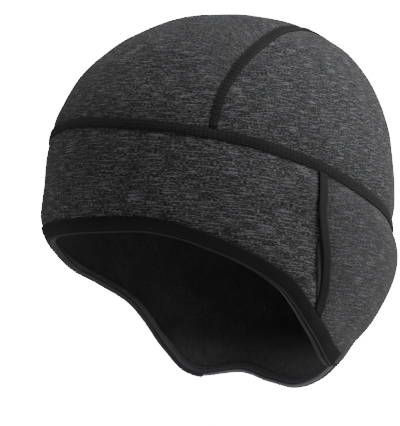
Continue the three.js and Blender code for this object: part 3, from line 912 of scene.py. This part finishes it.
def heather_material(name, contrast):
    """Charcoal knit with short light streaks along its courses."""
    n = Nodes(name, Roughness=0.92, Specular_IOR_Level=0.2, Sheen_Weight=0.08, Sheen_Roughness=0.5)
    place = n.fabric_place()
    wander = n.noise(n.stretched(place, (0.06, 0.1, 1)), 1.0, 1.0)
    shift = n.add("ShaderNodeCombineXYZ", Y=n.maths("MULTIPLY", wander, 1.5)).outputs[0]
    place = n.add("ShaderNodeVectorMath", {"operation": "ADD"}, _0=place, _1=shift).outputs[0]
    long_streaks = n.noise(n.stretched(place, (0.12, 1.7, 1)), 1.0, 1.0, 0.5)
    short_streaks = n.noise(n.stretched(place, (0.75, 2.3, 1)), 1.0, 1.0, 0.5)
    patches = n.noise(n.stretched(place, (0.06, 0.12, 1)), 1.0, 2.0)
    light = n.maths("MULTIPLY", n.ramp(long_streaks, 0.43, 0.84), 0.95 * contrast)
    fine = n.maths("MULTIPLY", n.ramp(short_streaks, 0.42, 0.84), 1.15 * contrast)
    both = n.maths("ADD", n.maths("ADD", light, fine), (1 - contrast) * MEAN_STREAK)
    share = n.maths("MULTIPLY", both, n.maths("ADD", n.maths("MULTIPLY", patches, 0.5), 0.76))
    share = n.maths("POWER", share, STREAK_POWER)
    n.color(n.blend(share, HEATHER_DARK, HEATHER_LIGHT))
    loops = n.noise(n.stretched(place, (1.4, 2.6, 1)), 1.0, 2.0, 0.6)
    n.bump(n.maths("ADD", n.maths("MULTIPLY", loops, 0.7), n.maths("MULTIPLY", both, 0.4)), 0.5, 0.3)
    return n.material


# Heights between which the lining goes from its deep tone to painted light at the rim, in millimetres
PAINTED_RIM_LIGHT_FROM = -155
PAINTED_RIM_LIGHT_TO = -183


def fleece_material():
    """Black brushed fleece; towards the nape's rim it turns lighter, with lighter ribs in it: painted light
    falling in through the opening, over the nap's real ribs.
    """
    n = Nodes("black_fleece", Roughness=1.0, Specular_IOR_Level=0.1, Sheen_Weight=0.35, Sheen_Roughness=0.6)
    n.shader.inputs["Sheen Tint"].default_value = (0.5, 0.5, 0.52, 1)
    place = n.object_place()
    tufts = n.noise(place, 900.0, 3.0, 0.65, 0.6)
    clouds = n.noise(place, 60.0, 2.0)
    share = n.maths("MULTIPLY", n.ramp(tufts, 0.3, 0.75), n.ramp(clouds, 0.2, 0.8))
    height = n.add("ShaderNodeSeparateXYZ", Vector=place).outputs["Z"]
    # painted light: from these heights down to the rim the lining is mixed towards a light grey, more so in
    # the ribs
    rim_light_share = n.ramp(height, PAINTED_RIM_LIGHT_FROM * MM, PAINTED_RIM_LIGHT_TO * MM)
    ribs = n.noise(n.stretched(place, (500, 500, 60)), 1.0, 2.0)
    ribs = n.maths("MULTIPLY", n.ramp(ribs, 0.25, 0.8), 0.3)
    rim_light_in_ribs = n.maths("MULTIPLY", rim_light_share, n.maths("ADD", ribs, 0.4))
    deep = n.blend(share, grey(0.042, 1.02), grey(0.105, 1.03))
    n.color(n.blend(rim_light_in_ribs, deep, grey(0.28, 1.03)))
    n.bump(tufts, 0.5, 0.5)
    return n.material


def seam_material():
    """Dark knit tape under the seam threads."""
    n = Nodes("seam_tape", Roughness=0.85, Specular_IOR_Level=0.25, Sheen_Weight=0.08)
    place = n.fabric_place()
    fibres = n.noise(n.stretched(place, (1.6, 2.2, 1)), 1.0, 3.0, 0.6)
    n.color(n.blend(n.ramp(fibres, 0.3, 0.75), grey(0.009, 1.05), grey(0.026, 1.06)))
    n.bump(fibres, 0.4, 0.2)
    return n.material


def thread_material():
    """Spun polyester thread."""
    n = Nodes("spun_thread", Roughness=0.6, Specular_IOR_Level=0.4, Sheen_Weight=0.1)
    place = n.object_place()
    fibres = n.noise(place, 2500.0, 2.0, 0.6)
    n.color(n.blend(n.ramp(fibres, 0.3, 0.7), grey(0.015, 1.05), grey(0.038, 1.06)))
    n.bump(fibres, 0.3, 0.08)
    return n.material


def tape_material(name, dark, light, roughness, sheen):
    """Elastic knit tape with fine ribs along it."""
    n = Nodes(name, Roughness=roughness, Specular_IOR_Level=0.3, Sheen_Weight=sheen, Sheen_Roughness=0.4)
    place = n.fabric_place()
    ribs = n.add(
        "ShaderNodeTexWave",
        {"wave_type": "BANDS", "bands_direction": "Y"},
        Vector=place,
        Scale=0.75,
        Distortion=0.6,
        Detail=1.0,
    ).outputs["Fac"]
    fibres = n.noise(n.stretched(place, (0.7, 2.4, 1)), 1.0, 3.0, 0.6)
    both = n.maths("ADD", n.maths("MULTIPLY", ribs, 0.4), n.maths("MULTIPLY", fibres, 0.6))
    n.color(n.blend(n.ramp(both, 0.25, 0.75), grey(dark, 1.06), grey(light, 1.08)))
    n.bump(both, 0.35, 0.15)
    return n.material


def floor_material():
    n = Nodes("pale_floor", Roughness=0.9, Specular_IOR_Level=0.1)
    specks = n.noise(n.object_place(), 30.0, 3.0)
    n.color(n.blend(n.ramp(specks, 0.3, 0.7), grey(0.80), grey(0.83)))
    return n.material


materials = {
    "heather": heather_material("heather_knit", 1.0),
    "smooth_heather": heather_material("smooth_heather_knit", 0.6),
    "fleece": fleece_material(),
    "seam": seam_material(),
    "thread": thread_material(),
    "loop": tape_material("loop_tape", 0.009, 0.019, 0.8, 0.03),
    "stay": tape_material("loop_stay", 0.02, 0.07, 0.85, 0.05),
    "elastic": tape_material("black_elastic", 0.005, 0.0095, 0.7, 0.0),
    # painted highlight: a lighter colour for the rolled lower edges of the binding and hem
    "painted_fold_highlight": tape_material("elastic_painted_fold_highlight", 0.032, 0.056, 0.6, 0.05),
    # the cloth's reverse on the rims' inner sides: its own grey, made much lighter as painted light falling
    # in at the rim
    "turn": tape_material("inner_turn_painted_light", 0.18, 0.31, 0.85, 0.15),
}

# Cloth panels: material, facets, then the flat cut's width, length and area in metres
loop_gap = CLEARANCE / HALF_WIDTH / DEGREE
loop_front = LOOP_ANGLE - loop_gap
loop_back = LOOP_ANGLE + loop_gap
forehead_at = lower_panel_at(-loop_front, loop_front, 6, BAND_SLANT)
ear_neck_at = lower_panel_at(loop_back, 360 - loop_back, 8, EAR_SLANT)
PANELS = (
    ("crown_center", "heather", 84, 130, crown_center_at, (0.125, 0.3, 0.0214)),
    ("crown_side_left", "heather", 64, 72, crown_side_at(1), (0.085, 0.235, 0.0135)),
    ("crown_side_right", "heather", 64, 72, crown_side_at(-1), (0.085, 0.235, 0.0135)),
    ("forehead_band", "heather", 150, 50, forehead_at, (0.095, 0.265, 0.0173)),
    ("ear_neck_panel", "smooth_heather", 170, 60, ear_neck_at, (0.105, 0.285, 0.0201)),
)
LINING_FLAT = (0.3, 0.52, 0.0807)
lining_cloth = dress(lining_piece(materials["fleece"]), "fleece_lining", "lining")
for node, material, across, along, at, (*flat, flat_area) in PANELS:
    piece = sheet_mesh(node + "_cloth", across, along, at, materials[material])
    dress(piece, "heather_fabric", node)

make_seam("band_flatlock", band_seam_place, 330, "band_seam", True, materials)
make_seam("crown_flatlock_left", crown_seam_place(1), 130, "crown_seam_left", False, materials)
make_seam("crown_flatlock_right", crown_seam_place(-1), 130, "crown_seam_right", False, materials)

for side_name, mirror in (("left", 1), ("right", -1)):
    name = "loop_tape_" + side_name
    tape = trim_mesh(name, LOOP_PROFILE, 60, loop_place(mirror), [materials["loop"]])
    dress(tape, "elastic", "glasses_loop_" + side_name)
    stay_place = loop_place(mirror, STAY_FROM, STAY_TO, STAY_ASIDE)
    stay = trim_mesh("loop_stay_" + side_name, STAY_PROFILE, 30, stay_place, [materials["stay"]])
    dress(stay, "elastic")

# Each rule gives a material's number and a test on the place of a profile's side
binding_place = rim_place(-BINDING_END, BINDING_END)
binding_rules = (
    # the binding's inside: the reverse cloth, lightened by painted light
    (2, lambda across, out: out < -3 and across > 0.7),
    # painted highlight: the binding's underside and rolled lower edge take the lighter edge colour
    (1, lambda across, out: across < 0.7 and out < 0.5),
    (1, lambda across, out: 0.4 < across < 1.0 and out > 1.0),
    (0, lambda across, out: True),
)
binding_marks = profile_marks(BINDING_PROFILE, binding_rules)
binding_materials = [materials["elastic"], materials["painted_fold_highlight"], materials["turn"]]
binding = trim_mesh(
    "face_binding", BINDING_PROFILE, 260, binding_place, binding_materials, marks=binding_marks
)
dress(binding, "elastic", "front_binding")

hem_place = rim_place(HEM_START, 360 - HEM_START)
hem_rules = (
    # the hem's inside: the reverse cloth, lightened by painted light
    (1, lambda across, out: out < -1),
    (2, lambda across, out: across < 0.4),
    # painted highlight along the hem's very edge
    (0, lambda across, out: True),
)
hem_marks = profile_marks(HEM_PROFILE, hem_rules)
hem_materials = [materials["loop"], materials["turn"], materials["painted_fold_highlight"]]
hem = trim_mesh("nape_hem", HEM_PROFILE, 130, hem_place, hem_materials, marks=hem_marks)
dress(hem, "heather_fabric", "neck_hem")
*flat, flat_area = LINING_FLAT

for name, place in (("binding_stitches", binding_place), ("hem_stitches", hem_place)):
    length = run_length(place)
    parts = [needle_row(length, across, HEM_THREAD_OUT, radius=-0.2) for across in HEM_ROWS]
    stitches = threads_piece(name, parts, place, length, materials["thread"])
    dress(stitches, "seam_thread")

# Floor, light and camera
FLOOR_Z = -0.5
FLOOR_HALF = 3.0
CENTRE = Vector((0, -0.0115, -0.092))


def towards(azimuth, elevation):
    """The direction from the cap to a viewer at this azimuth and elevation, in degrees."""
    a, e = azimuth * DEGREE, elevation * DEGREE
    return Vector((math.sin(a) * math.cos(e), -math.cos(a) * math.cos(e), math.sin(e)))


floor_corners = [(x * FLOOR_HALF, y * FLOOR_HALF, FLOOR_Z) for x, y in ((-1, -1), (1, -1), (1, 1), (-1, 1))]
floor = new_piece("floor", np.array(floor_corners) / MM, [(0, 1, 2, 3)], None, [floor_material()])
floor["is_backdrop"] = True

# Lights: azimuth and elevation in degrees, distance and size in metres, power in watts
LIGHTS = (
    ("key", 118, 54, 1.3, 0.7, 9.8),
    ("right", 145, 8, 1.4, 0.7, 6),
    ("front_left", -45, 20, 1.6, 1.0, 3.4),
    ("top", 60, 78, 1.3, 0.8, 2.4),
    ("rear", 175, 35, 1.4, 0.8, 2.3),
    ("face_fill", 45, 4, 1.4, 0.6, 0.4),
)
for name, azimuth, elevation, distance, size, power in LIGHTS:
    light = bpy.data.lights.new(name, "AREA")
    light.shape = "DISK"
    light.size = size
    light.energy = power
    lamp = bpy.data.objects.new(name, light)
    lamp.location = CENTRE + towards(azimuth, elevation) * distance
    lamp.rotation_euler = towards(azimuth, elevation).to_track_quat("Z", "Y").to_euler()
    bpy.context.scene.collection.objects.link(lamp)

AMBIENT = (0.12, 0.12, 0.1224, 1)
BACKDROP_STRENGTH = 20
world = bpy.data.worlds.new("studio")
world.use_nodes = True
world_tree = world.node_tree
background = world_tree.nodes["Background"]
background.inputs["Color"].default_value = AMBIENT
backdrop = world_tree.nodes.new("ShaderNodeBackground")
backdrop.inputs["Color"].default_value = (1, 1, 1, 1)
backdrop.inputs["Strength"].default_value = BACKDROP_STRENGTH
rays = world_tree.nodes.new("ShaderNodeLightPath")
choice = world_tree.nodes.new("ShaderNodeMixShader")
world_tree.links.new(rays.outputs["Is Camera Ray"], choice.inputs[0])
world_tree.links.new(background.outputs[0], choice.inputs[1])
world_tree.links.new(backdrop.outputs[0], choice.inputs[2])
world_tree.links.new(choice.outputs[0], world_tree.nodes["World Output"].inputs["Surface"])
bpy.context.scene.world = world

# The camera's place and turn are fitted to the photograph's outline; its frame is 400 x 426
AZIMUTH = 54.73
ELEVATION = -7.19
ROLL = 1.01
DISTANCE = 1.5406
PIXELS_PER_MM = 1.9046
CENTRE_PIXEL = (218.53, 194.93)
FRAME = (400, 426)
SENSOR = 36

back = towards(AZIMUTH, ELEVATION)
level = Vector((math.cos(AZIMUTH * DEGREE), math.sin(AZIMUTH * DEGREE), 0))
upright = back.cross(level)
turn = ROLL * DEGREE
across = level * math.cos(turn) + upright * math.sin(turn)
up = upright * math.cos(turn) - level * math.sin(turn)
focal_pixels = PIXELS_PER_MM * DISTANCE / MM
aside_pixels = FRAME[0] / 2 - CENTRE_PIXEL[0]
down_pixels = FRAME[1] / 2 - CENTRE_PIXEL[1]
axis = (back * focal_pixels - across * aside_pixels + up * down_pixels).normalized()
across = (across - axis * across.dot(axis)).normalized()
up = axis.cross(across)
camera = bpy.data.objects.new("camera", bpy.data.cameras.new("camera"))
camera.data.sensor_fit = "HORIZONTAL"
camera.data.sensor_width = SENSOR
camera.data.lens = focal_pixels * SENSOR / FRAME[0]
camera.data.clip_end = 50
camera.matrix_world = Matrix.LocRotScale(
    CENTRE + back * DISTANCE, Matrix((across, up, axis)).transposed().to_quaternion(), None
)
bpy.context.scene.collection.objects.link(camera)
bpy.context.scene.camera = camera

boxes = {"cad": CAD_BOX, "visual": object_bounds()}
{name: [list(corner) for corner in box] for name, box in boxes.items()}
